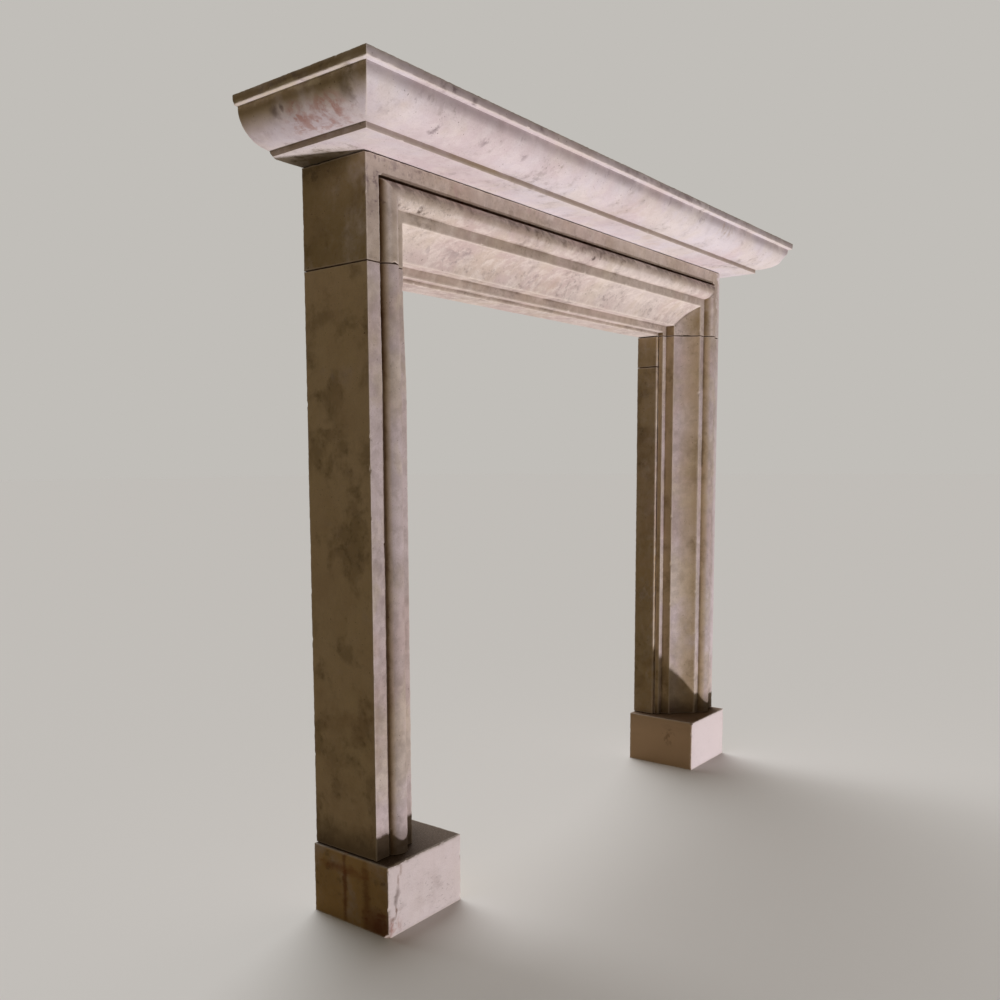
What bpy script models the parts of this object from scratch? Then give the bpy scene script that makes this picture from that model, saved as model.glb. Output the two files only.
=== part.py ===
# Limestone fireplace mantel, built dry from ten stones that stand by their own weight.
# Metres, +Z up. The origin is on the floor, under the middle of the whole thing; the wall is at +Y.
# The moulding is drawn once, as a section (inset, rise): inset runs from the outer edge of the
# surround towards the fire opening, and rise is how far a point stands in front of the outer flat.

import math

import bmesh
import bpy

# Overall sizes
overall_height = 1.320
jamb_span = 1.286            # across the outer sides of the two jambs
surround_depth = 0.144       # from the wall to the outer flat of the moulding
bed_gap = 0.0003             # clearance in every joint between two stones

# Shelf
shelf_thickness = 0.077
shelf_overhang = 0.1355      # in front of the outer flat, and past each jamb
fascia_height = 0.0165
fascia_arris = 0.003         # worn edge along the top and the bottom of the fascia
ovolo_setback = 0.009        # from the fascia back to the head of the ovolo
ovolo_shoulder = 0.001       # fall of the fascia's underside
ovolo_reach = 0.0605         # how far the ovolo draws in, from its head to its foot
bed_fillet_height = 0.0095
ovolo_steps = 18

# Moulding of the jambs and the lintel, in the order it has from the outer edge inwards
outer_flat_width = 0.031
quirk_width = 0.0015
quirk_depth = 0.004
roll_width = 0.0403
roll_rise = 0.0172           # crown of the roll above a line across its two feet
roll_steps = 24
upper_fillet_width = 0.019
upper_fillet_depth = 0.0074  # behind the outer flat
hollow_width = 0.0476
hollow_drop = 0.0479
hollow_sag = 0.007           # how far the hollow dips below a straight splay
hollow_steps = 12
inner_step = 0.0213          # from the foot of the hollow back to the inner fillet
inner_fillet_width = 0.0162
slip_step = 0.013            # from the inner fillet back to the edge fillet
edge_fillet_width = 0.0075   # last fillet beside the opening: the edge of the slips on a jamb
arris = 0.001                # worn arris along the moulding

# Slips, the stones that line the inner side of each jamb
slip_thickness = 0.030
upper_slip_height = 0.075
slip_arris = 0.001

# Plinths
plinth_height = 0.120
plinth_front_step = 0.030    # in front of the outer flat
plinth_side_step = 0.006     # past the outer side of the jamb
plinth_inner_step = 0.020    # past the slips, into the fire opening
plinth_arris = 0.003

# Worked out from the sizes above
half_span = jamb_span / 2
wall_y = (surround_depth + shelf_overhang) / 2
face_y = wall_y - surround_depth
inner_fillet_depth = upper_fillet_depth + hollow_drop + inner_step
edge_fillet_depth = inner_fillet_depth + slip_step
quirk_end = outer_flat_width + quirk_width
roll_end = quirk_end + roll_width
hollow_start = roll_end + upper_fillet_width
hollow_end = hollow_start + hollow_width
inner_fillet_end = hollow_end + inner_fillet_width
moulding_width = inner_fillet_end + edge_fillet_width
shelf_bottom = overall_height - shelf_thickness
frieze_top = shelf_bottom - bed_gap
soffit_height = frieze_top - moulding_width
jamb_bottom = plinth_height + bed_gap
jamb_top = soffit_height - bed_gap
slip_joint_height = jamb_top - upper_slip_height

# Shades of the stone, from the pale lintel to the browner slips
shelf_colour = (0.62, 0.53, 0.46)
lintel_colour = (0.60, 0.50, 0.43)
jamb_colour = (0.52, 0.43, 0.36)
plinth_colour = (0.48, 0.39, 0.32)
slip_colour = (0.33, 0.24, 0.17)
stone_roughness = 0.85


def arc(start, end, rise, steps):
    """Points after start, up to and with end, of an arc that stands rise above the chord."""
    chord_x = end[0] - start[0]
    chord_y = end[1] - start[1]
    chord = math.hypot(chord_x, chord_y)
    radius = (chord * chord / 4 + rise * rise) / (2 * abs(rise))
    side = math.copysign(1, rise)
    to_centre = side * (abs(rise) - radius)
    centre_x = (start[0] + end[0]) / 2 - chord_y / chord * to_centre
    centre_y = (start[1] + end[1]) / 2 + chord_x / chord * to_centre
    first = math.atan2(start[1] - centre_y, start[0] - centre_x)
    sweep = -side * 2 * math.acos(1 - abs(rise) / radius)
    points = []
    for step in range(1, steps + 1):
        angle = first + sweep * step / steps
        points.append((centre_x + radius * math.cos(angle), centre_y + radius * math.sin(angle)))
    return points


def quarter_oval(head, foot, steps):
    """Points from head to foot, upright at the head and level at the foot."""
    points = []
    for step in range(steps + 1):
        angle = math.pi / 2 * step / steps
        out = foot[0] + (head[0] - foot[0]) * math.cos(angle)
        down = head[1] + (foot[1] - head[1]) * math.sin(angle)
        points.append((out, down))
    return points


def ease(outline, size, sharpest=0.5):
    """Chamfer the outward corners of a closed outline whose sides are long enough to carry it."""
    count = len(outline)
    area = sum(outline[i - 1][0] * outline[i][1] - outline[i][0] * outline[i - 1][1] for i in range(count))
    turn_sign = math.copysign(1, area)
    eased = []
    for index, corner in enumerate(outline):
        before = outline[index - 1]
        after = outline[(index + 1) % count]
        back = (before[0] - corner[0], before[1] - corner[1])
        ahead = (after[0] - corner[0], after[1] - corner[1])
        back_length = math.hypot(*back)
        ahead_length = math.hypot(*ahead)
        bend = (back[1] * ahead[0] - back[0] * ahead[1]) * turn_sign / (back_length * ahead_length)
        if bend < sharpest or min(back_length, ahead_length) < 2.5 * size:
            eased.append(corner)
            continue
        for side, length in ((back, back_length), (ahead, ahead_length)):
            eased.append((corner[0] + side[0] / length * size, corner[1] + side[1] / length * size))
    return eased


def moulding_face():
    """Section of the moulded face, from the outer flat to the foot of the step beside the edge fillet."""
    quirk_foot = (quirk_end, -quirk_depth)
    roll_foot = (roll_end, -upper_fillet_depth)
    hollow_head = (hollow_start, -upper_fillet_depth)
    hollow_foot = (hollow_end, -upper_fillet_depth - hollow_drop)
    points = [(0, 0), (outer_flat_width, 0), (outer_flat_width, -quirk_depth), quirk_foot]
    points += arc(quirk_foot, roll_foot, roll_rise, roll_steps)
    points.append(hollow_head)
    points += arc(hollow_head, hollow_foot, -hollow_sag, hollow_steps)
    points += [(hollow_end, -inner_fillet_depth), (inner_fillet_end, -inner_fillet_depth)]
    points.append((inner_fillet_end, -edge_fillet_depth))
    return points


def jamb_section():
    """The moulded face, with a rebate behind it for the slips."""
    rebate = moulding_width - slip_thickness - bed_gap
    return ease(moulding_face() + [(rebate, -edge_fillet_depth), (rebate, -surround_depth),
                                   (0, -surround_depth)], arris)


def lintel_section():
    """The moulded face with its own edge fillet and soffit."""
    return ease(moulding_face() + [(moulding_width, -edge_fillet_depth),
                                   (moulding_width, -surround_depth), (0, -surround_depth)], arris)


def shelf_profile():
    """(overhang, height) from the top of the shelf down to its underside."""
    fascia_foot = overall_height - fascia_height
    ovolo_head = (shelf_overhang - ovolo_setback, fascia_foot - ovolo_shoulder)
    ovolo_foot = (ovolo_head[0] - ovolo_reach, shelf_bottom + bed_fillet_height)
    profile = [(shelf_overhang - fascia_arris, overall_height),
               (shelf_overhang, overall_height - fascia_arris),
               (shelf_overhang, fascia_foot + fascia_arris),
               (shelf_overhang - fascia_arris, fascia_foot)]
    profile += quarter_oval(ovolo_head, ovolo_foot, ovolo_steps)
    profile.append((ovolo_foot[0], shelf_bottom))
    return profile


def stone(name, colour):
    """A stone of one shade: its material."""
    material = bpy.data.materials.new(name + " limestone")
    material.use_nodes = True
    shader = material.node_tree.nodes["Principled BSDF"]
    shader.inputs["Base Color"].default_value = (*colour, 1)
    shader.inputs["Roughness"].default_value = stone_roughness
    shader.inputs["Metallic"].default_value = 0
    return material


def add_object(name, mesh, colour, collection):
    """Put a mesh in the collection, shaded smooth on its curves and sharp on its arrises."""
    mesh.shade_smooth()
    mesh.set_sharp_from_angle(angle=math.radians(25))
    mesh.materials.clear()
    mesh.materials.append(stone(name, colour))
    obj = bpy.data.objects.new(name, mesh)
    collection.objects.link(obj)
    return obj


def add_upright(name, outline, bottom, top, colour, collection):
    """A stone with one plan from its bed to its top: a filled flat curve with a thickness."""
    curve = bpy.data.curves.new(name, "CURVE")
    curve.dimensions = "2D"
    curve.fill_mode = "BOTH"
    curve.extrude = (top - bottom) / 2
    spline = curve.splines.new("POLY")
    spline.points.add(len(outline) - 1)
    for point, (x, y) in zip(spline.points, outline):
        point.co = (x, y, 0, 1)
    spline.use_cyclic_u = True
    drawn = bpy.data.objects.new(name + " outline", curve)
    drawn.location.z = (top + bottom) / 2
    collection.objects.link(drawn)
    bpy.context.view_layer.update()
    mesh = bpy.data.meshes.new_from_object(drawn.evaluated_get(bpy.context.evaluated_depsgraph_get()))
    mesh.name = name
    mesh.transform(drawn.matrix_world)
    bpy.data.objects.remove(drawn)
    bm = bmesh.new()
    bm.from_mesh(mesh)
    bmesh.ops.remove_doubles(bm, verts=bm.verts, dist=0.00001)
    bmesh.ops.recalc_face_normals(bm, faces=bm.faces)
    bm.to_mesh(mesh)
    bm.free()
    return add_object(name, mesh, colour, collection)


def extrude_to(bm, faces, place):
    """Extrude faces and set each new corner where place puts it; the new end faces are returned."""
    inside = any(len(edge.link_faces) > 1 for edge in faces[0].edges)
    made = bmesh.ops.extrude_face_region(bm, geom=faces)["geom"]
    if inside:
        bmesh.ops.delete(bm, geom=faces, context="FACES_ONLY")
    for vert in (item for item in made if isinstance(item, bmesh.types.BMVert)):
        vert.co = place(vert)
    return [item for item in made if isinstance(item, bmesh.types.BMFace)]


def add_lintel(colour, collection):
    """Left half of the moulding, from its foot round the mitre to the middle, then mirrored."""
    section = lintel_section()
    bm = bmesh.new()
    inset = bm.verts.layers.float.new("inset")
    for u, rise in section:
        vert = bm.verts.new((u - half_span, face_y - rise, soffit_height))
        vert[inset] = u
    end = [bm.faces.new(bm.verts)]
    end = extrude_to(bm, end, lambda vert: (vert.co.x, vert.co.y, frieze_top - vert[inset]))
    end = extrude_to(bm, end, lambda vert: (0, vert.co.y, vert.co.z))
    bmesh.ops.delete(bm, geom=end, context="FACES_ONLY")
    bmesh.ops.remove_doubles(bm, verts=bm.verts, dist=0.00001)
    bmesh.ops.recalc_face_normals(bm, faces=bm.faces)
    mesh = bpy.data.meshes.new("lintel")
    bm.to_mesh(mesh)
    bm.free()
    obj = add_object("lintel", mesh, colour, collection)
    mirror = obj.modifiers.new("right half", "MIRROR")
    mirror.use_clip = True
    mirror.merge_threshold = 0.0001
    return obj


def add_shelf(colour, collection):
    """The top of the shelf, drawn down through its profile and mitred at the two front corners."""
    profile = shelf_profile()
    bm = bmesh.new()
    level = bmesh.ops.create_grid(bm, x_segments=1, y_segments=1, size=1)["verts"]

    def corner(vert, overhang, height):
        y = wall_y if vert.co.y > face_y else face_y - overhang
        return (math.copysign(half_span + overhang, vert.co.x), y, height)

    for vert in level:
        vert.co = corner(vert, *profile[0])
    end = list(bm.faces)
    for overhang, height in profile[1:]:
        end = extrude_to(bm, end, lambda vert: corner(vert, overhang, height))
    bmesh.ops.recalc_face_normals(bm, faces=bm.faces)
    mesh = bpy.data.meshes.new("shelf")
    bm.to_mesh(mesh)
    bm.free()
    return add_object("shelf", mesh, colour, collection)


def add_block(name, low, high, edge, segments, colour, collection):
    """A squared stone between two corners, with worn edges."""
    bm = bmesh.new()
    bmesh.ops.create_cube(bm, size=1)
    for vert in bm.verts:
        vert.co = [high[axis] if vert.co[axis] > 0 else low[axis] for axis in range(3)]
    mesh = bpy.data.meshes.new(name)
    bm.to_mesh(mesh)
    bm.free()
    obj = add_object(name, mesh, colour, collection)
    bevel = obj.modifiers.new("worn edges", "BEVEL")
    bevel.width = edge
    bevel.segments = segments
    return obj


def across(side, *insets):
    """X places of insets on the left (-1) or the right (1), lowest first."""
    return sorted(side * (half_span - inset) for inset in insets)


def add_side(name, side, collection):
    """Plinth, jamb and slips of one side."""
    slip_back = moulding_width - slip_thickness
    plinth_x = across(side, -plinth_side_step, moulding_width + plinth_inner_step)
    slip_x = across(side, slip_back, moulding_width)
    slip_front = face_y + edge_fillet_depth + bed_gap
    add_block(name + "_plinth", (plinth_x[0], face_y - plinth_front_step, 0),
              (plinth_x[1], wall_y, plinth_height), plinth_arris, 2, plinth_colour, collection)
    plan = [(side * (half_span - inset), face_y - rise) for inset, rise in jamb_section()]
    add_upright(name + "_jamb", plan, jamb_bottom, jamb_top, jamb_colour, collection)
    add_block(name + "_slip_lower", (slip_x[0], slip_front, jamb_bottom),
              (slip_x[1], wall_y, slip_joint_height), slip_arris, 1, slip_colour, collection)
    add_block(name + "_slip_upper", (slip_x[0], slip_front, slip_joint_height + bed_gap),
              (slip_x[1], wall_y, jamb_top), slip_arris, 1, slip_colour, collection)


def main():
    for obj in list(bpy.data.objects):
        bpy.data.objects.remove(obj)
    mantel = bpy.data.collections.new("limestone fireplace mantel")
    bpy.context.scene.collection.children.link(mantel)
    for name, side in (("left", -1), ("right", 1)):
        add_side(name, side, mantel)
    add_lintel(lintel_colour, mantel)
    add_shelf(shelf_colour, mantel)


main()
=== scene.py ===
import math
import random

import bmesh
import bpy
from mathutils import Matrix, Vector, kdtree, noise


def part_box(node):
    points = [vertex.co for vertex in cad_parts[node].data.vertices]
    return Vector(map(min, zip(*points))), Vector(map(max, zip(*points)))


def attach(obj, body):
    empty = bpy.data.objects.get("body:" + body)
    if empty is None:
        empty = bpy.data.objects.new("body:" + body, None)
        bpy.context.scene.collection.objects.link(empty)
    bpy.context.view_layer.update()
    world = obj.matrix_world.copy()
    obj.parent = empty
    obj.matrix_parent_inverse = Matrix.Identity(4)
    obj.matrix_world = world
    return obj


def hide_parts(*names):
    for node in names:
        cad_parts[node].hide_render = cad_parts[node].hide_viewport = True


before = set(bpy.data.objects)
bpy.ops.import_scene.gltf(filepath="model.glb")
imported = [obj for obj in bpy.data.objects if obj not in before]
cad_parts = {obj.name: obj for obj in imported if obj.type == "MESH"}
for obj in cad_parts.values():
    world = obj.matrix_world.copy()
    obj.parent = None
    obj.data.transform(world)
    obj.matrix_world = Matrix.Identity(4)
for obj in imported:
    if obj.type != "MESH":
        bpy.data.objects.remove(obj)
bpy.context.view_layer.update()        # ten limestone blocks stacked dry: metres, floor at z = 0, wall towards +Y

mm = 0.001
touch = 0.01 * mm        # points this near count as one place
print("frame loaded:", len(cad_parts), "stones")

# Lines that the stones share, read from the frame
shelfLow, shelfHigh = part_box("shelf")
lintelLow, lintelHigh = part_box("lintel")
faceY = lintelHigh.y - 144 * mm      # outer flat of the moulding
wallY = lintelHigh.y
halfSpan = lintelHigh.x
bedGap = 0.3 * mm


def selectOnly(piece):
    if bpy.context.mode != "OBJECT":
        bpy.ops.object.mode_set(mode="OBJECT")
    bpy.ops.object.select_all(action="DESELECT")
    piece.select_set(True)
    bpy.context.view_layer.objects.active = piece


def selectWhere(piece, kind, wanted):
    # in edit mode: leaves selected just the points, edges or faces that pass the test
    bpy.ops.mesh.select_mode(type=kind)
    bpy.ops.mesh.select_all(action="DESELECT")
    bm = bmesh.from_edit_mesh(piece.data)
    for part in {"VERT": bm.verts, "EDGE": bm.edges, "FACE": bm.faces}[kind]:
        if wanted(part):
            part.select_set(True)
    bmesh.update_edit_mesh(piece.data)


def runsAlong(edge, axis):
    way = edge.verts[1].co - edge.verts[0].co
    return way.length > 0.2 * mm and abs(way[axis]) > 0.9999 * way.length


def bow(start, end, rise, steps):
    # points after start, up to and with end, of an arc that stands rise above its chord
    chord = Vector((end[0] - start[0], end[1] - start[1]))
    radius = (chord.length_squared / 4 + rise * rise) / (2 * abs(rise))
    side = math.copysign(1, rise)
    across = Vector((-chord.y, chord.x)).normalized()
    centre = Vector(start) + chord / 2 + across * side * (abs(rise) - radius)
    first = math.atan2(start[1] - centre.y, start[0] - centre.x)
    sweep = -side * 2 * math.acos(1 - abs(rise) / radius)
    turns = [first + sweep * step / steps for step in range(1, steps + 1)]
    return [(centre.x + radius * math.cos(turn), centre.y + radius * math.sin(turn)) for turn in turns]


def softened(corners):
    # each corner is (across, out, radius): a worn arris becomes a short curve of four points
    points = []
    for index, (x, y, radius) in enumerate(corners):
        here = Vector((x, y))
        if radius == 0:
            points.append(here)
            continue
        back = Vector(corners[index - 1][:2]) - here
        ahead = Vector(corners[(index + 1) % len(corners)][:2]) - here
        start = here + back.normalized() * radius
        end = here + ahead.normalized() * radius
        for step in range(4):
            t = step / 3
            points.append(start * (1 - t) ** 2 + here * 2 * t * (1 - t) + end * t ** 2)
    return points


def filledIn(points, step):
    # long straight runs get points between, closer together towards their arrises
    full = []
    for index, here in enumerate(points):
        there = points[(index + 1) % len(points)]
        run = there - here
        pieces = max(1, math.ceil(run.length / step))
        for cut in range(pieces):
            t = cut / pieces
            full.append(here + run * (t - 0.09 * math.sin(2 * math.pi * t)))
    return full


# The moulding, from the outer edge of the surround in towards the fire opening
moulding = {
    "outerFlat": 30.5 * mm,
    "quirk": 2.2 * mm,
    "quirkDepth": 8 * mm,
    "rollFoot": 4 * mm,
    "roll": 40.1 * mm,
    "rollRise": 17.2 * mm,
    "fillet": 19 * mm,
    "filletDepth": 7.4 * mm,
    "hollow": 47.6 * mm,
    "hollowDrop": 47.9 * mm,
    "hollowSag": 7 * mm,
    "innerStep": 21.3 * mm,
    "innerFillet": 16.2 * mm,
    "slipStep": 13 * mm,
    "edgeFillet": 7.5 * mm,
    "depth": 144 * mm,
    "arris": 1.3 * mm,
    "innerArris": 1.04 * mm,
    "step": 5 * mm,          # spacing of the mesh across the flats
    "rows": (18, 17),        # cuts up a jamb, then again in each part
}


def mouldingFace(m):
    # corners (inset, out, radius) down to the step beside the edge fillet
    quirkEnd = m["outerFlat"] + m["quirk"]
    rollEnd = quirkEnd + m["roll"]
    hollowStart = rollEnd + m["fillet"]
    hollowEnd = hollowStart + m["hollow"]
    hollowFoot = -m["filletDepth"] - m["hollowDrop"]
    innerDepth = hollowFoot - m["innerStep"]
    filletEnd = hollowEnd + m["innerFillet"]
    arris = m["arris"]
    inner = m["innerArris"]
    roll = bow((quirkEnd, -m["rollFoot"]), (rollEnd, -m["filletDepth"]), m["rollRise"], 24)
    hollow = bow((hollowStart, -m["filletDepth"]), (hollowEnd, hollowFoot), -m["hollowSag"], 16)
    face = [(0, 0, arris), (m["outerFlat"], 0, inner), (m["outerFlat"], -m["quirkDepth"], 0)]
    face += [(quirkEnd, -m["quirkDepth"], 0), (quirkEnd, -m["rollFoot"], 0)]
    face += [(u, v, 0) for u, v in roll]
    face += [(hollowStart, -m["filletDepth"], inner)]
    face += [(u, v, 0) for u, v in hollow[1:-1]]
    face += [(hollowEnd, hollowFoot, inner), (hollowEnd, innerDepth, 0), (filletEnd, innerDepth, arris)]
    return face, filletEnd, innerDepth - m["slipStep"]


def drawOutline(name, points):
    # a small plane drawn in to one corner, then pulled out point by point round the section
    bpy.ops.object.select_all(action="DESELECT")
    bpy.ops.mesh.primitive_plane_add(size=1 * mm, location=points[0])
    piece = bpy.context.object
    piece.name = piece.data.name = name
    bpy.ops.object.transform_apply(location=True, rotation=True, scale=True)
    bpy.ops.object.mode_set(mode="EDIT")
    bpy.ops.mesh.select_mode(type="VERT")
    bpy.ops.mesh.select_all(action="SELECT")
    bpy.ops.mesh.merge(type="CENTER")
    for start, end in zip(points, points[1:]):
        bpy.ops.mesh.extrude_region_move(TRANSFORM_OT_translate={"value": end - start})
    bpy.ops.mesh.select_all(action="SELECT")
    return piece


def closeOutline(piece):
    # joins the two open ends of the outline
    selectWhere(piece, "VERT", lambda vert: len(vert.link_edges) == 1)
    bpy.ops.mesh.edge_face_add()
    bpy.ops.mesh.select_all(action="SELECT")


def addRows(piece, wanted, cuts):
    selectWhere(piece, "EDGE", wanted)
    bpy.ops.mesh.subdivide(number_cuts=cuts)


def divideEnd(piece, axis, spacing):
    # the flat end is one big face: cut into squares, so that wear fades in from its arrises
    bm = bmesh.from_edit_mesh(piece.data)
    whole = max(bm.faces, key=lambda face: len(face.verts))
    corners = [vert.co.copy() for vert in whole.verts]
    selectWhere(piece, "FACE", lambda face: len(face.verts) == len(corners))
    bpy.ops.mesh.hide(unselected=True)
    for way in (other for other in range(3) if other != axis):
        low = min(corner[way] for corner in corners)
        high = max(corner[way] for corner in corners)
        normal = Vector([float(other == way) for other in range(3)])
        cuts = math.ceil((high - low) / spacing)
        for cut in range(1, cuts):
            bpy.ops.mesh.select_all(action="SELECT")
            place = low + (high - low) * cut / cuts
            bpy.ops.mesh.bisect(plane_co=normal * place, plane_no=normal, threshold=touch)
    bpy.ops.mesh.reveal(select=False)


def finishShape(piece):
    bpy.ops.mesh.select_all(action="SELECT")
    bpy.ops.mesh.remove_doubles(threshold=0.02 * mm)
    bpy.ops.mesh.normals_make_consistent(inside=False)
    bpy.ops.mesh.select_all(action="DESELECT")
    bpy.ops.object.mode_set(mode="OBJECT")


def drawJamb(name):
    low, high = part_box(name)
    side = math.copysign(1, low.x)
    face, filletEnd, edgeDepth = mouldingFace(moulding)
    slipLow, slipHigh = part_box(name.replace("jamb", "slip_lower"))
    rebate = halfSpan - max(abs(slipLow.x), abs(slipHigh.x)) - bedGap
    arris = moulding["arris"]
    corners = face + [(filletEnd, edgeDepth, arris), (rebate, edgeDepth, 0),
                      (rebate, -moulding["depth"], arris), (0, -moulding["depth"], arris)]
    outline = filledIn(softened(corners), moulding["step"])
    points = [Vector((side * (halfSpan - u), faceY - v, low.z)) for u, v in outline]
    piece = drawOutline(name + "_stone", points)
    bpy.ops.mesh.edge_face_add()
    bpy.ops.mesh.extrude_region_move(TRANSFORM_OT_translate={"value": (0, 0, high.z - low.z)})
    height = high.z - low.z
    first, second = moulding["rows"]
    addRows(piece, lambda edge: runsAlong(edge, 2) and edge.calc_length() > 0.9 * height, first)
    addRows(piece, lambda edge: runsAlong(edge, 2), second)
    finishShape(piece)
    return piece


mitred = {
    "spare": 50 * mm,        # the run is drawn past its mitre, then cut back
    "endSquares": 6 * mm,
    "shortest": 2.2 * mm,    # shorter edges by the mitre are left whole
    "longest": 20 * mm,
}


def drawMitred(name, outline, half, mitre, turn, end, rows, turnRows):
    # half of a moulded stone: run from the middle to the mitre, turned, cut off at its end, mirrored
    piece = drawOutline(name + "_stone", outline)
    closeOutline(piece)
    bpy.ops.mesh.extrude_region_move(TRANSFORM_OT_translate={"value": (half + mitred["spare"], 0, 0)})
    bpy.ops.mesh.select_all(action="SELECT")
    bpy.ops.mesh.bisect(plane_co=mitre[0], plane_no=mitre[1], clear_outer=True, threshold=touch)
    bpy.ops.mesh.extrude_region_move(TRANSFORM_OT_translate={"value": turn})
    bpy.ops.mesh.select_all(action="SELECT")
    bpy.ops.mesh.bisect(plane_co=end[0], plane_no=end[1], clear_outer=True, threshold=touch)
    selectWhere(piece, "EDGE", lambda edge: edge.is_boundary and min(vert.co.x for vert in edge.verts) > mm)
    bpy.ops.mesh.edge_face_add()
    axis = 2 if turn.z else 1
    place = end[0][axis]

    def turned(edge):
        ends = [vert.co[axis] for vert in edge.verts]
        return runsAlong(edge, axis) and edge.calc_length() > mitred["shortest"] \
            and min(abs(value - place) for value in ends) < touch \
            and not edge.is_boundary and min(vert.co.x for vert in edge.verts) > mm \
            and all(len(vert.link_edges) > 2 for vert in edge.verts)

    addRows(piece, turned, turnRows)
    addRows(piece, lambda edge: runsAlong(edge, 0) and min(vert.co.x for vert in edge.verts) < touch
            and edge.calc_length() > half / 2, rows[0])
    addRows(piece, lambda edge: runsAlong(edge, 0) and edge.calc_length() > mitred["longest"], rows[1])
    divideEnd(piece, axis, mitred["endSquares"])
    finishShape(piece)
    mirror = piece.modifiers.new("other half", "MIRROR")
    mirror.use_clip = True
    mirror.merge_threshold = 0.05 * mm
    bpy.ops.object.modifier_apply(modifier=mirror.name)
    bpy.ops.object.mode_set(mode="EDIT")
    finishShape(piece)
    return piece


lintel = {
    "turnDrop": 200 * mm,
    "rows": (14, 13),
    "turnRows": 44,
}


def drawLintel():
    face, filletEnd, edgeDepth = mouldingFace(moulding)
    width = filletEnd + moulding["edgeFillet"]
    arris = moulding["arris"]
    corners = face + [(filletEnd, edgeDepth, 0), (width, edgeDepth, arris),
                      (width, -moulding["depth"], arris), (0, -moulding["depth"], arris)]
    outline = filledIn(softened(corners), moulding["step"])
    points = [Vector((0, faceY - v, lintelHigh.z - u)) for u, v in outline]
    mitre = (Vector((halfSpan, faceY, lintelHigh.z)), Vector((1, 0, -1)).normalized())
    end = (Vector((0, 0, lintelLow.z)), Vector((0, 0, -1)))
    turn = Vector((0, 0, -lintel["turnDrop"]))
    return drawMitred("lintel", points, halfSpan, mitre, turn, end, lintel["rows"], lintel["turnRows"])


shelf = {
    "overhang": 135.5 * mm,
    "fascia": 16.5 * mm,
    "fasciaArris": 3 * mm,
    "setback": 9 * mm,
    "shoulder": 1 * mm,
    "ovoloReach": 60.5 * mm,
    "bedFillet": 9.5 * mm,
    "bedArris": 1.2 * mm,
    "backArris": 2 * mm,
    "ovoloSteps": 24,
    "step": 7 * mm,
    "turnBack": 400 * mm,
    "rows": (15, 15),
    "turnRows": 80,
}


def drawShelf():
    s = shelf
    foot = shelfHigh.z - s["fascia"]
    head = (s["overhang"] - s["setback"], foot - s["shoulder"])
    bed = (head[0] - s["ovoloReach"], shelfLow.z + s["bedFillet"])
    back = faceY - wallY
    corners = [(back, shelfHigh.z, s["backArris"]), (s["overhang"], shelfHigh.z, s["fasciaArris"]),
               (s["overhang"], foot, s["fasciaArris"]), (head[0], foot - 0.5 * s["shoulder"], 0)]
    for step in range(s["ovoloSteps"] + 1):
        turn = math.pi / 2 * step / s["ovoloSteps"]
        out = bed[0] + (head[0] - bed[0]) * math.cos(turn)
        corners.append((out, head[1] + (bed[1] - head[1]) * math.sin(turn), 0))
    corners += [(bed[0], shelfLow.z, s["bedArris"]), (back, shelfLow.z, s["backArris"])]
    outline = filledIn(softened(corners), s["step"])
    points = [Vector((0, faceY - out, height)) for out, height in outline]
    mitre = (Vector((halfSpan, faceY, 0)), Vector((1, 1, 0)).normalized())
    end = (Vector((0, wallY, 0)), Vector((0, 1, 0)))
    turn = Vector((0, s["turnBack"], 0))
    return drawMitred("shelf", points, shelfHigh.x, mitre, turn, end, s["rows"], s["turnRows"])


# Squared blocks: worn arris, spacing of the mesh, and the most cuts that are made in one go
plinth = {"arris": 2 * mm, "spacing": 3.2 * mm, "mostCuts": 90}
slip = {"arris": 1.2 * mm, "spacing": 4 * mm, "mostCuts": 90}


def drawBlock(name, block):
    # a cube at the CAD stone's size and place, its arrises bevelled but for the bed, its faces divided
    low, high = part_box(name)
    bpy.ops.object.select_all(action="DESELECT")
    bpy.ops.mesh.primitive_cube_add(size=1, location=(low + high) / 2, scale=high - low)
    piece = bpy.context.object
    piece.name = piece.data.name = name + "_stone"
    bpy.ops.object.transform_apply(location=True, rotation=True, scale=True)
    bpy.ops.object.mode_set(mode="EDIT")
    selectWhere(piece, "EDGE", lambda edge: max(vert.co.z for vert in edge.verts) > low.z + mm)
    bpy.ops.mesh.bevel(offset=block["arris"], segments=3, affect="EDGES")
    for axis in range(3):
        cuts = math.ceil((high[axis] - low[axis]) / block["spacing"])
        twice = cuts > block["mostCuts"]
        if twice:
            cuts = math.ceil(math.sqrt(cuts))
        addRows(piece, lambda edge: runsAlong(edge, axis) and edge.calc_length() > 10 * mm, cuts)
        if twice:
            least = 2 * block["spacing"]
            addRows(piece, lambda edge: runsAlong(edge, axis) and edge.calc_length() > least, cuts)
    finishShape(piece)
    return piece


# How each stone has weathered: sizes of what the years and the mason's tools left on it
weathering = {
    "swell": (160 * mm, 1.0 * mm),      # width and depth of the slow unevenness
    "tooling": (24 * mm, 0.35 * mm),
    "nibble": (8 * mm, 0.45 * mm),      # loss along the arrises
    "arrisReach": 3 * mm,
    "creaseReach": 7 * mm,
    "quirkReach": 14 * mm,
    "jointReach": 3 * mm,
    "arrisAngle": 18,
    "creaseAngle": -30,
    "smoothAngle": 25,
    "nickWidths": (3, 8),
    "nickDepths": (0.5, 1.6),
    "flakeTilt": 0.25,
    "flakeSearch": 1.6,                 # half widths round a flake that are looked through
    "flakeProud": 0.5 * mm,
    "flakeRoughness": 0.06,
    "bruiseLoss": 0.8 * mm,             # loss at which the fresh stone starts to show
    "bedHeight": 4 * mm,                # below this the plinths keep their sharp foot
}


def inset(place):
    # how far in from the outer edge of the surround
    return min(halfSpan - abs(place.x), lintelHigh.z - place.z)


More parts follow.
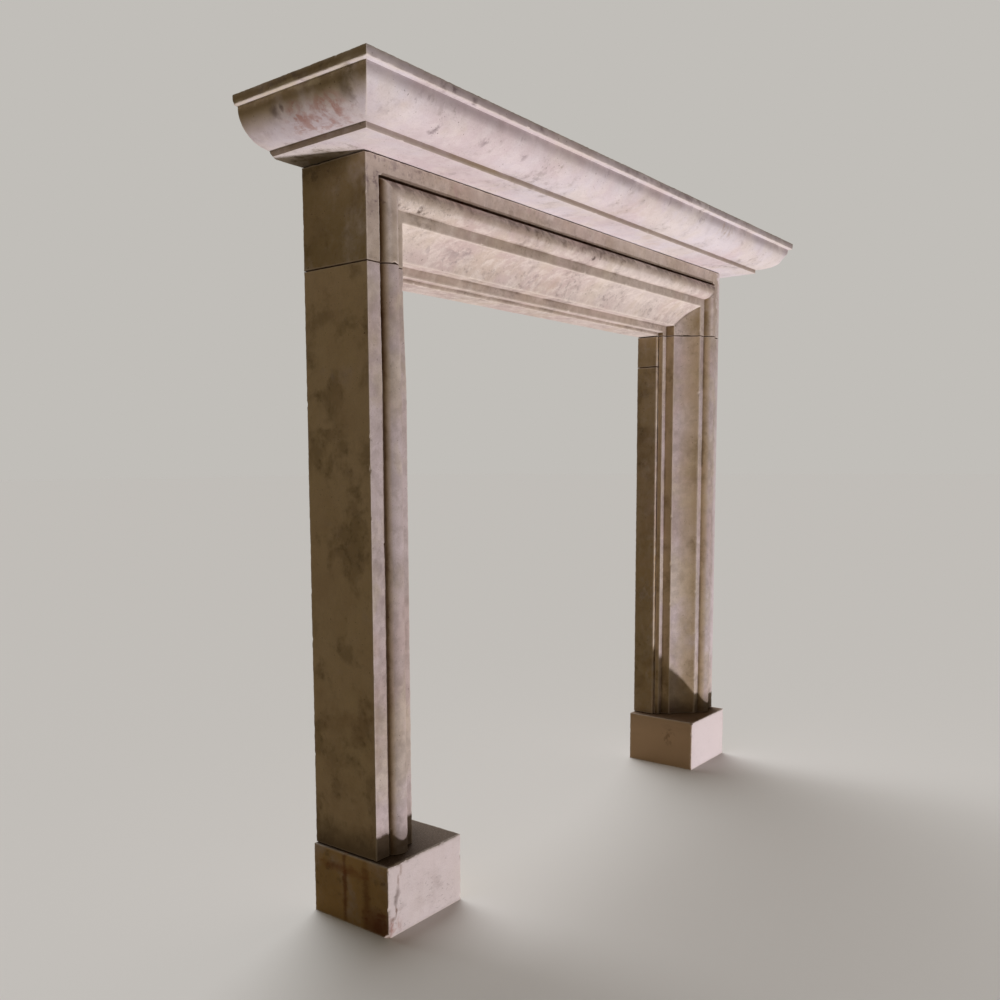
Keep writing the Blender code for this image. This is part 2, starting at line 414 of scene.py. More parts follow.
def paintEdges(piece, beds):
    # how near each point is to a worn arris, to an inner corner darkened with dirt and painted shade, to the
    # groove above the roll, and to a joint, where beds lists (height of the joint, distance from the middle at
    # which it starts)
    bm = bmesh.new()
    bm.from_mesh(piece.data)
    arrises = set()
    creases = set()
    for edge in bm.edges:
        if len(edge.link_faces) != 2:
            continue
        angle = math.degrees(edge.calc_face_angle_signed(0))
        if angle > weathering["arrisAngle"]:
            arrises.update(vert.index for vert in edge.verts)
        if angle < weathering["creaseAngle"]:
            creases.update(vert.index for vert in edge.verts)
    quirkY = faceY + moulding["quirkDepth"]
    quirks = {index for index in creases if abs(piece.data.vertices[index].co.y - quirkY) < 0.1 * mm}
    for name, found, reach in (("arris", arrises, weathering["arrisReach"]),
                               ("crease", creases, weathering["creaseReach"]),
                               ("quirk", quirks, weathering["quirkReach"])):
        layer = piece.data.attributes.new(name, "FLOAT", "POINT")
        if not found:
            continue
        tree = kdtree.KDTree(len(found))
        for index in found:
            tree.insert(piece.data.vertices[index].co, index)
        tree.balance()
        values = [max(0, 1 - tree.find(vert.co)[2] / reach) for vert in piece.data.vertices]
        if name == "quirk":
            flat = moulding["outerFlat"] - 0.3 * mm
            values = [value if inset(vert.co) > flat else 0
                      for value, vert in zip(values, piece.data.vertices)]
        layer.data.foreach_set("value", values)
    bm.free()
    layer = piece.data.attributes.new("joint", "FLOAT", "POINT")
    for vert in piece.data.vertices:
        near = [1 - abs(vert.co.z - height) / weathering["jointReach"]
                for height, start in beds if abs(vert.co.x) > start]
        layer.data[vert.index].value = max(near + [0])
    return [piece.data.vertices[index].co.copy() for index in sorted(arrises)
            if piece.data.vertices[index].co.z > mm]


def displace(piece, name, width, depth, group=""):
    # unevenness that only ever goes into the stone
    texture = bpy.data.textures.new(name, "CLOUDS")
    texture.noise_scale = width
    texture.noise_depth = 2
    if group:
        texture.intensity = 0.9
        texture.contrast = 2.5
    move = piece.modifiers.new(name, "DISPLACE")
    move.texture = texture
    move.texture_coords = "LOCAL"
    move.mid_level = 1
    move.strength = depth
    move.vertex_group = group
    bpy.ops.object.modifier_apply(modifier=move.name)


def chip(piece, places, chance):
    # scoops a shallow shell-shaped flake off an arris at each place: (where, half width, depth)
    verts = piece.data.vertices
    tree = kdtree.KDTree(len(verts))
    for vert in verts:
        tree.insert(vert.co, vert.index)
    tree.balance()
    for where, width, depth in places:
        middle, index = tree.find(where)[:2]
        most = weathering["flakeTilt"]
        tilt = Vector([chance.uniform(-most, most) for axis in range(3)])
        outwards = (verts[index].normal + tilt).normalized()
        for point, near, _ in tree.find_range(middle, weathering["flakeSearch"] * width):
            height = (point - middle).dot(outwards)
            reach = (point - middle - outwards * height).length / width
            rough = weathering["flakeRoughness"] * (1 + noise.noise(point / mm))
            floor = -depth * (1 - reach * reach) + rough * depth
            if floor < height < weathering["flakeProud"] and reach < 1:
                verts[near].co = point - outwards * (height - floor)


# The near jamb was cut a little off its line: its roll widens and its fillet drifts below the top third
drift = {
    "from": 1.05,
    "to": 0.85,
    "depth": 60 * mm,
    "insets": (20, 32, 92, 112, 132),        # mm in from the outer edge
    "shifts": (0, 1, 5, 3.5, 0),
}


def driftMoulding(piece):
    for vert in piece.data.vertices:
        fall = min(max((drift["from"] - vert.co.z) / (drift["from"] - drift["to"]), 0), 1)
        across = (halfSpan - abs(vert.co.x)) / mm
        if vert.co.y > faceY + drift["depth"] or not drift["insets"][0] < across < drift["insets"][-1]:
            continue
        after = next(index for index, place in enumerate(drift["insets"]) if place > across)
        start, end = drift["insets"][after - 1:after + 1]
        near, far = drift["shifts"][after - 1:after + 1]
        shift = near + (far - near) * (across - start) / (end - start)
        vert.co.x += shift * mm * fall * fall * (3 - 2 * fall)


def keepInside(piece, node):
    # nothing stands proud of the CAD stone
    low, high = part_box(node)
    for vert in piece.data.vertices:
        vert.co = [min(max(vert.co[axis], low[axis]), high[axis]) for axis in range(3)]


def weather(piece, seed, nicks, places=(), beds=()):
    selectOnly(piece)
    arrises = paintEdges(piece, beds)
    group = piece.vertex_groups.new(name="arrises")
    values = [item.value for item in piece.data.attributes["arris"].data]
    for index, value in enumerate(values):
        if value > 0 and piece.data.vertices[index].co.z > weathering["bedHeight"]:
            group.add([index], value, "REPLACE")
    before = [vert.co.copy() for vert in piece.data.vertices]
    displace(piece, "nibbled arris", *weathering["nibble"], group="arrises")
    chance = random.Random(seed)
    tree = kdtree.KDTree(len(arrises))
    for index, place in enumerate(arrises):
        tree.insert(place, index)
    tree.balance()
    low = Vector(piece.bound_box[0])
    high = Vector(piece.bound_box[6])
    small = []
    for nick in range(nicks):
        # by place, not by number: Blender may number the points of a mesh differently from run to run
        where = tree.find([chance.uniform(low[axis], high[axis]) for axis in range(3)])[0]
        width = chance.uniform(*weathering["nickWidths"]) * mm
        small.append((where, width, chance.uniform(*weathering["nickDepths"]) * mm))
    chip(piece, small + [(where, width * mm, depth * mm) for where, width, depth in places], chance)
    lost = [(here.co - old).length for here, old in zip(piece.data.vertices, before)]
    layer = piece.data.attributes.new("bruise", "FLOAT", "POINT")
    fresh = [max(0, value - weathering["bruiseLoss"]) / mm for value in lost]
    layer.data.foreach_set("value", [min(1, value) for value in fresh])
    displace(piece, "swell", *weathering["swell"])
    displace(piece, "tooling", *weathering["tooling"])
    for vert, old in zip(piece.data.vertices, before):
        if old.z < 0.1 * mm and layer.data[vert.index].value == 0:
            vert.co.z = old.z      # the plinths sit flat on the floor
    piece.vertex_groups.clear()
    bpy.ops.object.shade_smooth_by_angle(angle=math.radians(weathering["smoothAngle"]))
    bpy.ops.object.select_all(action="DESELECT")


def colour(code):
    # sRGB hex to linear light
    parts = [int(code[place:place + 2], 16) / 255 for place in (0, 2, 4)]
    return [part / 12.92 if part <= 0.04045 else ((part + 0.055) / 1.055) ** 2.4 for part in parts] + [1]


def addNode(tree, kind, inputs=(), **settings):
    node = tree.nodes.new("ShaderNode" + kind)
    for name, value in settings.items():
        setattr(node, name, value)
    for name, value in dict(inputs).items():
        if isinstance(value, bpy.types.NodeSocket):
            tree.links.new(value, node.inputs[name])
        else:
            node.inputs[name].default_value = value
    return node


# Rubbed limestone: a pale, matt, close-grained stone with slow clouds of rose and cream, groups of
# grey-violet flecks, grime and painted shade where it faces up, dirt and painted shade where an inner corner
# holds it, patina and painted shade on its sides, and painted shade on its fronts. Sizes in millimetres.
# A layer is drawn where its noise passes from low to high, facing up, down or sideways if it says so.
plainLayer = dict(detail=4, low=0.45, high=0.65, stretch=(1, 1, 1), turn=(0, 0, 0), swirl=0.2,
                  within=None, facing=None)
limestone = {
    "ground": "D1C7C2",
    "layers": {
        "rosy": dict(colour="CBB7B4", amount=0.75, size=260, low=0.42, high=0.64),
        "creamy": dict(colour="D6CAB6", amount=0.6, size=130, low=0.47, high=0.62),
        "brushed": dict(colour="E2D9D3", amount=0.6, size=17, detail=3, low=0.42, high=0.66,
                        stretch=(2.4, 1, 1), turn=(0, -0.87, 0)),
        "ochre": dict(colour="BFA382", amount=0.3, size=150, low=0.6, high=0.76),
        "streak": dict(colour="8F8275", amount=0.3, size=22, low=0.52, high=0.72, stretch=(1, 1, 7)),
        "cluster": dict(colour="A99D98", amount=0.3, size=95, low=0.45, high=0.62),
        "mottle": dict(colour="80736F", amount=0.5, size=17, detail=6, low=0.5, high=0.66,
                       within="cluster"),
        "fleck": dict(colour="6B5F5B", amount=0.5, size=6, detail=4, low=0.56, high=0.68,
                      within="cluster"),
        # upward faces darker: dust and painted shade
        "upGrimeAndShade": dict(colour="75685E", amount=0.75, size=20, detail=6, low=0.4, high=0.62, facing="up"),
        # side faces darker olive-brown: patina and painted shade
        "sidePatinaAndShade": dict(colour="B29D78", amount=0.7, size=70, detail=5, low=0.2, high=0.55, facing="side"),
        "blotch": dict(colour="7A6442", amount=0.5, size=75, detail=5, low=0.46, high=0.66, facing="side"),
        "bloom": dict(colour="BFA688", amount=0.45, size=110, detail=5, low=0.48, high=0.68, facing="side"),
        "spot": dict(colour="5A4A34", amount=0.5, size=16, detail=5, low=0.54, high=0.68, within="blotch",
                     facing="side"),
        # front faces painted darker: painted shade
        "frontShade": dict(colour="A2907A", amount=0, size=120, low=0.2, high=0.6, facing="front"),
        "sawn": dict(colour="A3927C", amount=0.55, size=26, detail=4, low=0.3, high=0.62, stretch=(9, 1, 1),
                     facing="back"),
        "grain": dict(colour="A99C92", amount=0.24, size=2.4, detail=3, low=0.42, high=0.7),
        "pore": dict(colour="5C4E42", amount=0.65, size=4.2, detail=2, low=0.69, high=0.74),
        "spatter": dict(colour="000000", amount=0, size=21, detail=6, low=0.43, high=0.55),
        "smudge": dict(colour="000000", amount=0, size=15, detail=5, low=0.48, high=0.62,
                       stretch=(0.8, 1, 1.7), turn=(0, 0.3, 0)),
    },
    # inner corners darker: dirt and painted shade
    "creaseDirtAndShade": "5C4834",
    "creaseDirtAndShadeAmount": 0.6,
    "relief": 0.4,
    "ragged": 0.3,           # how much the mottling eats into a stain's edge
    "waver": 26 * mm,        # how far a stain's outline wanders
    "waverSize": 28,
    "roughness": (0.72, 0.9),
    "bumpHeight": 0.25 * mm,
    # dark brown of the groove above the roll, dirt and painted shade, also used for the dark joints
    "grooveDirtAndShade": "5E351A",
    "worn": "E0D6CE",
    "stains": [],
    "seed": (0, 0, 0),
}


def stoneMaterial(name, changes):
    look = {**limestone, **changes}
    layers = {key: {**plainLayer, **layer, **changes.get(key, {})} for key, layer in look["layers"].items()}
    material = bpy.data.materials.new(name)
    material.use_nodes = True
    tree = material.node_tree
    tree.nodes.clear()
    coordinates = addNode(tree, "TexCoord")
    where = coordinates.outputs["Object"]
    facing = addNode(tree, "SeparateXYZ", {0: coordinates.outputs["Normal"]})
    sideways = addNode(tree, "Math", {0: facing.outputs[0]}, operation="ABSOLUTE").outputs[0]
    turned = {
        "up": addNode(tree, "MapRange", {0: facing.outputs[2], 1: -0.3, 2: 0.7}).outputs[0],
        "down": addNode(tree, "MapRange", {0: facing.outputs[2], 1: -0.2, 2: -0.8}).outputs[0],
        "side": addNode(tree, "MapRange", {0: sideways, 1: 0.55, 2: 0.95}).outputs[0],
        "front": addNode(tree, "MapRange", {0: facing.outputs[1], 1: -0.9, 2: -0.99}).outputs[0],
        "back": addNode(tree, "MapRange", {0: facing.outputs[1], 1: 0.9, 2: 0.99}).outputs[0],
    }
    masks = {}
    for index, (key, layer) in enumerate(layers.items()):
        shift = [offset + 3.7 * index for offset in look["seed"]]
        placed = addNode(tree, "Mapping", {"Vector": where, "Location": shift, "Rotation": layer["turn"],
                                           "Scale": layer["stretch"]}, vector_type="TEXTURE")
        cloud = addNode(tree, "TexNoise", {"Vector": placed.outputs[0], "Scale": 1000 / layer["size"],
                                           "Detail": layer["detail"], "Roughness": 0.6,
                                           "Distortion": layer["swirl"]})
        masks[key] = addNode(tree, "MapRange", {0: cloud.outputs["Fac"], 1: layer["low"], 2: layer["high"]},
                             interpolation_type="SMOOTHSTEP").outputs[0]
    shares = []
    for key, layer in layers.items():
        if layer["amount"] == 0:
            continue             # only limits stains
        share = addNode(tree, "Math", {0: masks[key], 1: layer["amount"]}, operation="MULTIPLY").outputs[0]
        for limit in (masks.get(layer["within"]), turned.get(layer["facing"])):
            if limit:
                share = addNode(tree, "Math", {0: share, 1: limit}, operation="MULTIPLY").outputs[0]
        shares.append((share, layer["colour"]))
    most = look["ragged"]
    ragged = addNode(tree, "MapRange", {0: masks["mottle"], 3: most, 4: -most}).outputs[0]
    waver = addNode(tree, "TexNoise", {"Vector": where, "Scale": 1000 / look["waverSize"],
                                       "Detail": 3}).outputs["Color"]
    waver = addNode(tree, "VectorMath", {0: waver, 1: (0.5, 0.5, 0.5)}, operation="SUBTRACT").outputs[0]
    waver = addNode(tree, "VectorMath", {0: waver, "Scale": look["waver"]}, operation="SCALE").outputs[0]
    wavering = addNode(tree, "VectorMath", {0: where, 1: waver}, operation="ADD").outputs[0]
    for centre, radii, code, amount, within in look["stains"]:
        off = addNode(tree, "VectorMath", {0: wavering, 1: centre}, operation="SUBTRACT").outputs[0]
        off = addNode(tree, "VectorMath", {0: off, 1: [radius * mm for radius in radii]},
                      operation="DIVIDE").outputs[0]
        away = addNode(tree, "VectorMath", {0: off}, operation="LENGTH").outputs["Value"]
        away = addNode(tree, "Math", {0: away, 1: ragged}, operation="ADD").outputs[0]
        share = addNode(tree, "MapRange", {0: away, 1: 1.0, 2: 0.3, 3: 0, 4: amount}).outputs[0]
        if within:
            limit = turned.get(within) or masks[within]
            share = addNode(tree, "Math", {0: share, 1: limit}, operation="MULTIPLY").outputs[0]
        shares.append((share, code))
    broken = addNode(tree, "MapRange", {0: masks["cluster"], 3: 0.35, 4: 1.0}).outputs[0]
    whole = addNode(tree, "MapRange", {0: masks["smudge"], 3: 0.75, 4: 1.0}).outputs[0]
    # painted on the mesh: colour, amount, and the nearness at which it starts and is full
    painted = {
        # crease: dirt and painted shade in the inner corners; quirk: dirt and painted shade in the groove above
        # the roll and on the roll's upper side
        "crease": (look["creaseDirtAndShade"], look["creaseDirtAndShadeAmount"], 0.25, 1, broken),
        "quirk": (look["grooveDirtAndShade"], 0.97, 0, 0.7, whole),
        "arris": (look["worn"], 0.6, 0, 1, whole),
        "bruise": (look["worn"], 0.7, 0, 1, whole),
        "joint": (look["grooveDirtAndShade"], 0.85, 0.6, 1, whole),
    }
    for name, (code, amount, start, end, cover) in painted.items():
        near = addNode(tree, "Attribute", attribute_name=name).outputs["Fac"]
        near = addNode(tree, "MapRange", {0: near, 1: start, 2: end}).outputs[0]
        near = addNode(tree, "Math", {0: near, 1: cover}, operation="MULTIPLY").outputs[0]
        shares.append((addNode(tree, "Math", {0: near, 1: amount}, operation="MULTIPLY").outputs[0], code))
    ground = addNode(tree, "RGB")
    ground.outputs[0].default_value = colour(look["ground"])
    shade = ground.outputs[0]
    for share, code in shares:
        mixed = addNode(tree, "Mix", {0: share, 6: shade, 7: colour(code)}, data_type="RGBA")
        shade = mixed.outputs[2]
    smoothest, roughest = look["roughness"]
    rough = addNode(tree, "MapRange", {0: masks["grain"], 3: smoothest, 4: roughest}).outputs[0]
    relief = addNode(tree, "Math", {0: masks["grain"], 1: masks["pore"]}, operation="SUBTRACT").outputs[0]
    bump = addNode(tree, "Bump", {"Height": relief, "Strength": look["relief"],
                                  "Distance": look["bumpHeight"]})
    shader = addNode(tree, "BsdfPrincipled", {"Base Color": shade, "Roughness": rough, "IOR": 1.5,
                                              "Specular IOR Level": 0.2, "Normal": bump.outputs[0]})
    output = addNode(tree, "OutputMaterial", {"Surface": shader.outputs[0]})
    output.is_active_output = True
    return material


# Stains that the photo shows, with a few painted shadows among them: where (m), radii (mm), colour, amount, and
# the layer that breaks it up
iron = "AC7864"
violet = "75656B"
earth = "7C4B24"
tan = "A58D6E"
shelfStains = [
    ((-0.764, 0.063, 1.279), (13, 13, 15), "6B5C50", 0.8, None),
    ((-0.766, 0.046, 1.281), (7, 7, 9), "6B5C50", 0.8, None),
    ((-0.752, 0.020, 1.268), (40, 34, 24), iron, 0.95, "spatter"),
    ((-0.750, -0.038, 1.268), (40, 46, 26), iron, 0.95, "spatter"),
    ((-0.738, 0.006, 1.256), (40, 90, 20), "BC9588", 0.75, "smudge"),
    ((-0.764, -0.080, 1.278), (20, 22, 34), "6A5A40", 0.7, None),
    ((-0.776, 0.020, 1.311), (10, 90, 12), violet, 0.6, "spatter"),
    ((-0.776, 0.010, 1.303), (14, 260, 7), "DDD2B8", 0.7, None),
    ((-0.746, -0.006, 1.262), (50, 90, 26), "B78C7E", 0.75, "smudge"),
    ((-0.745, 0.010, 1.258), (80, 300, 34), "A3969C", 0.45, None),
    # dark under the shelf's return beside the lintel: painted shadow
    ((-0.650, 0.095, 1.243), (52, 120, 16), "6E6046", 0.9, "down"),
    ((-0.768, -0.100, 1.288), (14, 26, 26), "75653F", 0.6, "spatter"),
    ((-0.605, -0.140, 1.312), (46, 10, 10), violet, 0.8, "spatter"),
    ((-0.543, -0.140, 1.309), (14, 8, 8), violet, 0.8, None),
    ((-0.372, -0.140, 1.313), (22, 8, 8), violet, 0.8, "spatter"),
    ((0.150, -0.140, 1.313), (500, 8, 9), violet, 0.5, "spatter"),
    ((-0.640, -0.126, 1.290), (60, 20, 12), violet, 0.35, "smudge"),
    ((-0.668, -0.122, 1.276), (8, 12, 10), violet, 0.6, "smudge"),
    ((-0.632, -0.117, 1.270), (9, 12, 8), violet, 0.6, "smudge"),
    ((-0.598, -0.104, 1.262), (12, 12, 12), violet, 0.7, "spatter"),
    ((-0.487, -0.114, 1.268), (12, 14, 10), violet, 0.5, "smudge"),
    ((-0.404, -0.128, 1.289), (12, 12, 12), violet, 0.4, "smudge"),
    ((-0.382, -0.117, 1.271), (14, 14, 14), violet, 0.5, "spatter"),
    ((-0.279, -0.123, 1.276), (10, 20, 34), "857A5E", 0.5, "smudge"),
    ((-0.133, -0.126, 1.284), (14, 20, 30), violet, 0.5, "smudge"),
    ((-0.046, -0.126, 1.284), (12, 20, 30), violet, 0.5, "smudge"),
    ((0.118, -0.127, 1.284), (16, 20, 30), violet, 0.5, "smudge"),
    ((0.254, -0.130, 1.292), (20, 20, 26), violet, 0.5, "smudge"),
    ((0.000, -0.070, 1.247), (2400, 40, 22), "9B8A78", 0.7, "front"),
    ((-0.440, -0.070, 1.247), (110, 40, 20), "8E7B52", 0.5, "front"),
    ((0.400, -0.129, 1.290), (56, 20, 26), tan, 0.5, "smudge"),
]
lintelStains = [
    ((-0.630, -0.004, 1.190), (30, 8, 70), violet, 0.75, "spatter"),
    ((-0.560, -0.004, 1.236), (90, 8, 16), violet, 0.6, "spatter"),
    ((-0.421, -0.004, 1.232), (50, 8, 16), "B79C9C", 0.6, "smudge"),
    ((-0.188, -0.004, 1.236), (90, 8, 12), "B79C9C", 0.6, "smudge"),
    ((-0.060, -0.018, 1.195), (480, 12, 17), "75655F", 0.5, "smudge"),
    ((-0.040, -0.018, 1.194), (300, 12, 15), "66554F", 0.5, "spatter"),
    ((-0.520, -0.012, 1.170), (90, 10, 8), "4A382C", 0.9, "spatter"),
    ((0.011, -0.014, 1.182), (11, 9, 9), "4E423C", 0.8, None),
    ((-0.380, 0.028, 1.132), (80, 26, 24), violet, 0.5, "spatter"),
    ((-0.130, 0.043, 1.119), (60, 26, 20), violet, 0.45, "spatter"),
    ((0.150, 0.036, 1.128), (70, 26, 16), violet, 0.3, "smudge"),
    ((0.645, -0.004, 1.160), (26, 40, 400), "EFE8EC", 0.85, "front"),
]
jambStains = [
    # darker at the foot of each jamb, where the plinth's shadow falls: painted shade with dirt
    ((-0.600, 0.000, 0.118), (900, 500, 62), "4E3C2A", 0.7, None),
    ((0.600, 0.000, 0.118), (900, 500, 62), "4E3C2A", 0.7, None),
    ((-0.640, 0.050, 0.330), (12, 160, 260), "8A6848", 0.25, "cluster"),
    ((-0.610, -0.004, 0.500), (30, 8, 240), violet, 0.3, "smudge"),
    ((0.645, -0.004, 0.660), (24, 40, 900), "EAE2E8", 0.8, "front"),
]
plinthStains = [
    ((-0.560, -0.034, 0.060), (400, 120, 400), "F8F0F1", 0.36, "front"),
    ((-0.649, 0.066, 0.060), (9, 8, 150), earth, 0.75, None),
    ((-0.649, 0.016, 0.050), (9, 13, 120), earth, 0.55, None),
    ((-0.649, 0.070, 0.090), (9, 80, 12), "8C5428", 0.6, None),
    ((-0.649, -0.010, 0.012), (16, 50, 46), "7A3F2C", 0.8, None),
    ((-0.640, -0.034, 0.014), (34, 12, 30), "A8705E", 0.5, "smudge"),
    ((-0.617, -0.034, 0.108), (4, 12, 16), "9C877B", 0.6, None),
    ((-0.623, -0.034, 0.090), (4, 12, 18), "8C7468", 0.7, None),
    ((-0.626, -0.034, 0.070), (7, 12, 17), "66524A", 0.6, None),
    ((-0.630, -0.034, 0.057), (8, 12, 14), "58443A", 0.65, None),
    ((-0.631, -0.034, 0.040), (4, 12, 18), "7A6052", 0.8, None),
    ((-0.638, -0.034, 0.029), (10, 12, 6), "7A6052", 0.7, None),
    ((-0.560, -0.034, 0.040), (60, 9, 60), "A79390", 0.15, "spatter"),
    ((0.460, 0.050, 0.040), (100, 500, 500), "E3C7AC", 0.95, "side"),
    # the far plinth's top painted paler to offset its shade: painted light
    ((0.555, 0.050, 0.125), (400, 400, 60), "8A7460", 0.7, "up"),
    ((0.460, 0.025, 0.070), (9, 30, 26), "8A664C", 0.7, "smudge"),
    ((0.560, -0.034, 0.060), (400, 120, 400), "F1E8EB", 0.85, "front"),
]
stones = {
    "shelf": ("shelf_stone", stoneMaterial("rubbed limestone of the shelf", {
        "ground": "E5DFE6", "seed": (1, 2, 3), "stains": shelfStains, "creaseDirtAndShadeAmount": 0.2, "relief": 0.2,
        "ragged": 0.12,
        "rosy": dict(colour="D9C8CB"), "creamy": dict(colour="E4DACF", amount=0.45),
        "brushed": dict(colour="EFE7E8", amount=0.35), "streak": dict(amount=0.1),
        "grain": dict(amount=0.15), "cluster": dict(low=0.5, high=0.66, amount=0.15),
        "mottle": dict(amount=0.35),
        "fleck": dict(low=0.58, high=0.7),
        "upGrimeAndShade": dict(colour="A39688", amount=0.6, size=110, low=0.3, high=0.75),
        "sidePatinaAndShade": dict(colour="A08B63", amount=0.85), "bloom": dict(amount=0.2),
        "blotch": dict(amount=0.3), "frontShade": dict(colour="8C7C82", amount=0.55)})),
    "lintel": ("lintel_stone", stoneMaterial("rubbed limestone of the lintel", {
        "ground": "DBD0CB", "seed": (5, 1, 7), "stains": lintelStains, "creaseDirtAndShadeAmount": 0.5,
        "worn": "EFE5DA", "brushed": dict(colour="EDE3DD"), "streak": dict(amount=0.08),
        "creamy": dict(amount=0.4),
        "sidePatinaAndShade": dict(colour="A08A5A", amount=0.85), "frontShade": dict(amount=0.45),
        "cluster": dict(low=0.45, high=0.62, amount=0.15), "mottle": dict(amount=0.4)})),
    "jamb": ("jamb_stone", stoneMaterial("rubbed limestone of the jambs", {
        "ground": "D8CCD0", "seed": (9, 4, 2), "stains": jambStains, "ragged": 0.06,
        "brushed": dict(amount=0.2), "sidePatinaAndShade": dict(colour="CDB68E", amount=0.8, low=0.1, high=0.42),
        "blotch": dict(amount=0.45, size=60),
        "spot": dict(colour="665638", amount=0.45, low=0.48, high=0.7),
        "mottle": dict(amount=0.16, stretch=(1, 1, 2)), "fleck": dict(amount=0.15),
        "streak": dict(amount=0.2)})),
    "plinth": ("plinth_stone", stoneMaterial("sawn limestone of the plinths", {
        "ground": "EADFE1", "seed": (3, 8, 6), "stains": plinthStains, "ragged": 0.15, "waver": 15 * mm,
        "rosy": dict(colour="E2D0D1"), "creamy": dict(amount=0.2),
        "brushed": dict(amount=0.2), "streak": dict(amount=0.1),
        "cluster": dict(amount=0.15), "mottle": dict(amount=0.35, stretch=(2, 2, 1)),
        "fleck": dict(amount=0.6, size=5, stretch=(2.2, 2.2, 1), low=0.55, high=0.66),
        # sides darker: patina and painted shade
        "sidePatinaAndShade": dict(colour="BE9A5E", amount=0.9), "blotch": dict(amount=0.25),
        # plinth tops painted dark brown: painted shade
        "upGrimeAndShade": dict(colour="483828", amount=0.97, low=0.1, high=0.3)})),
    "slip": ("slip_stone", stoneMaterial("smoky limestone of the slips", {
        "ground": "BFA680", "seed": (7, 6, 1)})),
}


def setStone(piece, node, kind):
    # the dressed stone takes the place of its plain CAD node
    slotName, material = stones[kind]
    keepInside(piece, node)
    piece.data.materials.clear()
    piece.data.materials.append(material)
    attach(piece, "root")
    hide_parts(node)


# Chips and dents that the photo shows: where (m), half width (mm), depth (mm)
chips = {
    "shelf": [
        ((-0.7785, 0.1390, 1.3035), 7, 2),
        ((-0.7085, 0.1390, 1.2430), 26, 5),
        ((0.7785, -0.1398, 1.3035), 6, 2),
        ((0.7600, -0.1210, 1.2800), 26, 4),
    ],
    "lintel": [
        ((-0.590, -0.016, 1.0796), 7, 3),
        ((0.632, -0.016, 1.0796), 6, 2),
        ((-0.640, -0.004, 1.2427), 6, 1.5),
    ],
    "left_jamb": [
        ((-0.643, -0.004, 0.760), 9, 1.6),
        ((-0.643, -0.004, 0.430), 7, 1.4),
        ((-0.612, -0.004, 0.640), 6, 1.2),
    ],
    "right_jamb": [
        ((0.612, -0.010, 1.0793), 6, 2),
        ((0.560, -0.008, 0.560), 6, 1.5),
    ],
    "left_plinth": [
        ((-0.649, -0.034, 0.000), 14, 5),
        ((-0.622, -0.034, 0.120), 12, 2),
        ((-0.598, -0.034, 0.120), 9, 1.6),
        ((-0.460, -0.034, 0.081), 8, 1.8),
        ((-0.460, -0.034, 0.024), 9, 1.6),
        ((-0.649, -0.034, 0.112), 7, 1.6),
    ],
    "right_plinth": [
        ((0.460, -0.034, 0.120), 12, 4),
        ((0.560, -0.034, 0.120), 9, 1.4),
        ((0.649, -0.034, 0.110), 8, 2),
    ],
}
piece = drawShelf()
weather(piece, 11, 15, chips["shelf"])
setStone(piece, "shelf", "shelf")
print("shelf:", len(piece.data.polygons), "faces")

piece = drawLintel()
weather(piece, 12, 34, chips["lintel"], beds=[(lintelHigh.z, 0), (lintelLow.z, 0.485)])
setStone(piece, "lintel", "lintel")
print("lintel:", len(piece.data.polygons), "faces")

for seed, side in ((21, "left"), (22, "right")):
    piece = drawJamb(side + "_jamb")
    if side == "left":
        driftMoulding(piece)
    low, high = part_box(side + "_jamb")
    weather(piece, seed, 26, chips[side + "_jamb"], beds=[(low.z, 0), (high.z, 0)])
    setStone(piece, side + "_jamb", "jamb")
    print(side, "jamb:", len(piece.data.polygons), "faces")
    piece = drawBlock(side + "_plinth", plinth)
    weather(piece, seed + 10, 10, chips[side + "_plinth"])
    setStone(piece, side + "_plinth", "plinth")
    print(side, "plinth:", len(piece.data.polygons), "faces")
    for part in ("_slip_lower", "_slip_upper"):
        piece = drawBlock(side + part, slip)
        low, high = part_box(side + part)
        weather(piece, seed + 20, 5, beds=[(low.z, 0), (high.z, 0)])
        setStone(piece, side + part, "slip")
        print(side + part + ":", len(piece.data.polygons), "faces")

# Studio: a pale floor lit softly from above and behind, and a soft lamp well below in front, as in the
# photo, whose light the floor lets through the way a lit glass table does
studio = {
    "floorHalf": 60,
    "floorColour": "DCDBDA",
    "floorBounce": "918879",
    "backdropColour": "C1BEB9",
    "airStrength": 0.12,
    "skyFrom": (0.35, 0.50, 0.80),
    "skyEnergy": 2.5,
    "skySpread": 50,
    "lampPlace": (0.5, -2.5, -3.45),
    "lampAim": (0, 0, 0.7),
    "lampSize": 0.28,
    "lampEnergy": 225,
}
bpy.ops.object.select_all(action="DESELECT")
bpy.ops.mesh.primitive_plane_add(size=2 * studio["floorHalf"], location=(0, 0, 0))
floor = bpy.context.object
floor.name = "studio_floor"
floor.visible_shadow = False
glass = bpy.data.materials.new("matt studio glass")
glass.use_nodes = True
tree = glass.node_tree
tree.nodes.clear()
seen = addNode(tree, "LightPath").outputs["Is Camera Ray"]
tint = addNode(tree, "Mix", {0: seen, 6: colour(studio["floorBounce"]), 7: colour(studio["floorColour"])},
               data_type="RGBA")
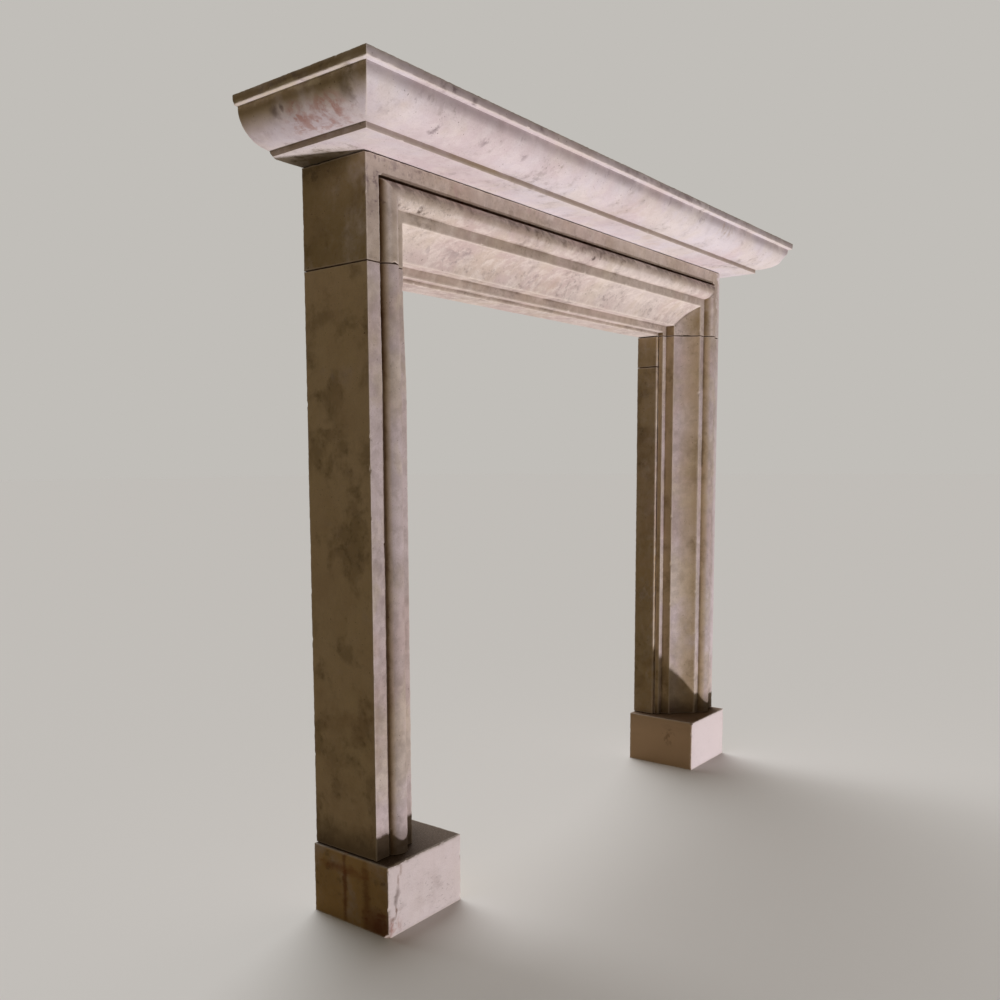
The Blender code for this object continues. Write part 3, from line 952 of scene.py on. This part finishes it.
matt = addNode(tree, "BsdfDiffuse", {"Color": tint.outputs[2]})
addNode(tree, "OutputMaterial", {"Surface": matt.outputs[0]})
floor.data.materials.append(glass)

world = bpy.data.worlds.new("studio air")
bpy.context.scene.world = world
world.use_nodes = True
tree = world.node_tree
tree.nodes.clear()
air = addNode(tree, "Background", {"Color": colour("F6DCAE"), "Strength": studio["airStrength"]})
backdrop = addNode(tree, "Background", {"Color": colour(studio["backdropColour"]), "Strength": 1.0})
seen = addNode(tree, "LightPath").outputs["Is Camera Ray"]
both = addNode(tree, "MixShader", {0: seen, 1: air.outputs[0], 2: backdrop.outputs[0]})
addNode(tree, "OutputWorld", {"Surface": both.outputs[0]})

bpy.ops.object.light_add(type="SUN", location=(2, 2, 4))
overhead = bpy.context.object
overhead.name = "overhead_light"
overhead.rotation_euler = Vector(studio["skyFrom"]).to_track_quat("Z", "Y").to_euler()
overhead.data.energy = studio["skyEnergy"]
overhead.data.angle = math.radians(studio["skySpread"])

bpy.ops.object.light_add(type="AREA", location=studio["lampPlace"])
lamp = bpy.context.object
lamp.name = "low_lamp"
lamp.rotation_euler = (Vector(studio["lampAim"]) - lamp.location).to_track_quat("-Z", "Y").to_euler()
lamp.data.shape = "DISK"
lamp.data.size = studio["lampSize"]
lamp.data.energy = studio["lampEnergy"]
lamp.data.color = colour("FFF8FA")[:3]
lamp.visible_camera = False
print("studio lit")

# The camera, as solved from the photo's perspective
view = {
    "place": (-1.74624, -1.06903, 0.76504),
    "turn": (1.472074, 0.007922, -0.886424),
    "sensor": 36,
    "lens": 34.93,
    "shift": (0.04826, 0.06079),
    "farthest": 200,
}
bpy.ops.object.camera_add(location=view["place"], rotation=view["turn"])
camera = bpy.context.object
camera.name = "photo_camera"
camera.data.sensor_width = view["sensor"]
camera.data.lens = view["lens"]
camera.data.shift_x, camera.data.shift_y = view["shift"]
camera.data.clip_end = view["farthest"]
bpy.context.scene.camera = camera
bpy.context.scene.view_settings.view_transform = "Standard"
print("camera placed")
